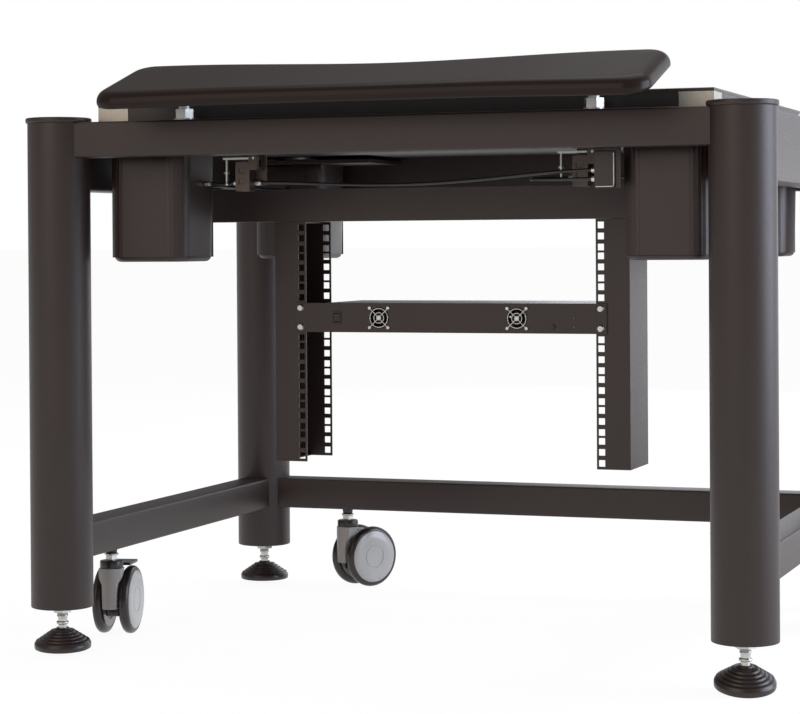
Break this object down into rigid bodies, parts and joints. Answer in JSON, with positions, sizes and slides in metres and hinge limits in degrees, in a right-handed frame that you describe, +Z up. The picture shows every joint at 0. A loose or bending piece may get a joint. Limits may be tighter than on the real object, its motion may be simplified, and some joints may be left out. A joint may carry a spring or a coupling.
{
  "type": "vibration isolation workstation",
  "caption": "Steel frame desk with a floating optical breadboard on air isolators, a padded armrest, a hanging equipment rack, levelling feet and castors.",
  "frame": {"origin": "on the floor, below the middle of the whole outline; the middle between the four leg axes is 25.47 mm behind it; the castors' wheels touch the floor and the feet end 8.5 mm above it", "axes": "+X to the user's right along the front beam, +Y away from the user, +Z up"},
  "size_m": [1.0847, 0.9596, 0.8383],
  "materials": {
    "frame_paint": "fine textured powder coat",
    "moulded_black": "moulded, satin",
    "pad_skin": "fine grained foam skin",
    "zinc": "zinc plated",
    "stainless": "fine ground",
    "core_sheet": "plain",
    "rubber": "matte",
    "lid_metal": "satin",
    "valve_body": "dark anodised",
    "hose": "smooth",
    "light_lens": "translucent lens",
    "castor_grey": "moulded, satin",
    "wheel": "moulded tyre on a hub"
  },
  "bodies": {
    "frame": {"legs": "frame_paint", "leg_caps": "frame_paint", "front_upper_beam": "frame_paint", "rear_upper_beam": "frame_paint", "left_upper_beam": "frame_paint", "right_upper_beam": "frame_paint", "left_lower_beam": "frame_paint", "right_lower_beam": "frame_paint", "rear_lower_beam": "frame_paint", "corner_plates": "frame_paint", "rack_beam": "frame_paint", "isolator_cups": "moulded_black", "isolator_diaphragms": "rubber", "armrest_pad": "pad_skin", "armrest_plate": "frame_paint", "armrest_studs": "zinc", "rack_left_channel": "frame_paint", "rack_right_channel": "frame_paint", "rack_screws": "zinc", "module_panel": "frame_paint", "module_chassis": "frame_paint", "module_lid": "lid_metal", "fan_housings": "moulded_black", "fan_guards": "zinc", "switch_housing": "moulded_black", "indicator_lights": "light_lens", "control_panel": "moulded_black", "control_bracket": "frame_paint", "air_manifold": "valve_body", "levelling_valves": "valve_body", "push_in_fittings": "zinc", "air_hoses": "hose", "foot_locknuts": "zinc", "castor_stems": "zinc"},
    "breadboard": {"breadboard_top_skin": "stainless", "breadboard_core": "core_sheet", "breadboard_shell": "frame_paint", "breadboard_corner_blocks": "stainless", "isolator_pistons": "zinc"},
    "lever_front_left": {"lever_front_left": "zinc"},
    "lever_front_right": {"lever_front_right": "zinc"},
    "lever_rear": {"lever_rear": "zinc"},
    "fan_rotor_left": {"fan_rotor_left": "moulded_black"},
    "fan_rotor_right": {"fan_rotor_right": "moulded_black"},
    "rocker_switch": {"rocker_switch": "moulded_black"},
    "push_button": {"push_button": "moulded_black"},
    "foot_front_left": {"foot_front_left": "moulded_black"},
    "foot_front_right": {"foot_front_right": "moulded_black"},
    "foot_rear_left": {"foot_rear_left": "moulded_black"},
    "foot_rear_right": {"foot_rear_right": "moulded_black"},
    "castor_left_side": {"castor_fork_left_side": "castor_grey"},
    "wheels_left_side": {"castor_wheels_left_side": "wheel"},
    "brake_left_side": {"brake_pedal_left_side": "moulded_black"},
    "castor_right_side": {"castor_fork_right_side": "castor_grey"},
    "wheels_right_side": {"castor_wheels_right_side": "wheel"},
    "brake_right_side": {"brake_pedal_right_side": "moulded_black"},
    "castor_rear_left": {"castor_fork_rear_left": "castor_grey"},
    "wheels_rear_left": {"castor_wheels_rear_left": "wheel"},
    "castor_rear_right": {"castor_fork_rear_right": "castor_grey"},
    "wheels_rear_right": {"castor_wheels_rear_right": "wheel"}
  },
  "joints": [
    {"name": "breadboard_float", "type": "slide", "parent": "frame", "child": "breadboard", "axis": [0, 0, 1], "range_m": [-0.004, 0.005], "stiffness_N_per_m": 30000, "springref_m": 0.0163},
    {"name": "lever_front_left_tilt", "type": "hinge", "parent": "frame", "child": "lever_front_left", "pos_m": [-0.234, -0.23253, 0.7095], "axis": [0, 1, 0], "range_deg": [-5.5, 6.5]},
    {"name": "lever_front_right_tilt", "type": "hinge", "parent": "frame", "child": "lever_front_right", "pos_m": [0.268, -0.23253, 0.7095], "axis": [0, 1, 0], "range_deg": [-5.5, 6.5]},
    {"name": "lever_rear_tilt", "type": "hinge", "parent": "frame", "child": "lever_rear", "pos_m": [0.268, 0.28347, 0.7095], "axis": [0, 1, 0], "range_deg": [-5.5, 6.5]},
    {"name": "fan_left_spin", "type": "hinge", "parent": "frame", "child": "fan_rotor_left", "pos_m": [-0.107, -0.06453, 0.4754], "axis": [0, 1, 0], "continuous": true},
    {"name": "fan_right_spin", "type": "hinge", "parent": "frame", "child": "fan_rotor_right", "pos_m": [0.107, -0.06453, 0.4754], "axis": [0, 1, 0], "continuous": true},
    {"name": "rocker_rock", "type": "hinge", "parent": "frame", "child": "rocker_switch", "pos_m": [-0.1745, -0.07054, 0.4754], "axis": [1, 0, 0], "range_deg": [-8, 0]},
    {"name": "button_press", "type": "slide", "parent": "frame", "child": "push_button", "axis": [0, 1, 0], "range_m": [0, 0.002], "stiffness_N_per_m": 300},
    {"name": "foot_front_left_adjust", "type": "slide", "parent": "frame", "child": "foot_front_left", "axis": [0, 0, 1], "range_m": [-0.012, 0.012]},
    {"name": "foot_front_right_adjust", "type": "slide", "parent": "frame", "child": "foot_front_right", "axis": [0, 0, 1], "range_m": [-0.012, 0.012]},
    {"name": "foot_rear_left_adjust", "type": "slide", "parent": "frame", "child": "foot_rear_left", "axis": [0, 0, 1], "range_m": [-0.012, 0.012]},
    {"name": "foot_rear_right_adjust", "type": "slide", "parent": "frame", "child": "foot_rear_right", "axis": [0, 0, 1], "range_m": [-0.012, 0.012]},
    {"name": "castor_left_side_swivel", "type": "hinge", "parent": "frame", "child": "castor_left_side", "pos_m": [-0.495, -0.18554, 0.1085], "axis": [0, 0, 1], "continuous": true},
    {"name": "castor_left_side_roll", "type": "hinge", "parent": "castor_left_side", "child": "wheels_left_side", "pos_m": [-0.50168, -0.15118, 0.051], "axis": [-0.9816, -0.1908, 0], "continuous": true},
    {"name": "brake_left_side_press", "type": "hinge", "parent": "castor_left_side", "child": "brake_left_side", "pos_m": [-0.49958, -0.16198, 0.1001], "axis": [-0.9816, -0.1908, 0], "range_deg": [0, 6]},
    {"name": "castor_right_side_swivel", "type": "hinge", "parent": "frame", "child": "castor_right_side", "pos_m": [0.495, 0.22546, 0.1085], "axis": [0, 0, 1], "continuous": true},
    {"name": "castor_right_side_roll", "type": "hinge", "parent": "castor_right_side", "child": "wheels_right_side", "pos_m": [0.50406, 0.19166, 0.051], "axis": [0.9659, 0.2588, 0], "continuous": true},
    {"name": "brake_right_side_press", "type": "hinge", "parent": "castor_right_side", "child": "brake_right_side", "pos_m": [0.50121, 0.20228, 0.1001], "axis": [0.9659, 0.2588, 0], "range_deg": [0, 6]},
    {"name": "castor_rear_left_swivel", "type": "hinge", "parent": "frame", "child": "castor_rear_left", "pos_m": [-0.34, 0.39147, 0.1085], "axis": [0, 0, 1], "continuous": true},
    {"name": "castor_rear_left_roll", "type": "hinge", "parent": "castor_rear_left", "child": "wheels_rear_left", "pos_m": [-0.32197, 0.42147, 0.051], "axis": [-0.8572, 0.515, 0], "continuous": true},
    {"name": "castor_rear_right_swivel", "type": "hinge", "parent": "frame", "child": "castor_rear_right", "pos_m": [0.34, 0.39147, 0.1085], "axis": [0, 0, 1], "continuous": true},
    {"name": "castor_rear_right_roll", "type": "hinge", "parent": "castor_rear_right", "child": "wheels_rear_right", "pos_m": [0.33392, 0.42593, 0.051], "axis": [-0.9848, -0.1736, 0], "continuous": true}
  ],
  "couplings": [
    {"joint": "lever_front_left_tilt", "follows": "breadboard_float", "rad_per_m": 21.277},
    {"joint": "lever_front_right_tilt", "follows": "breadboard_float", "rad_per_m": 21.277},
    {"joint": "lever_rear_tilt", "follows": "breadboard_float", "rad_per_m": 21.277}
  ]
}
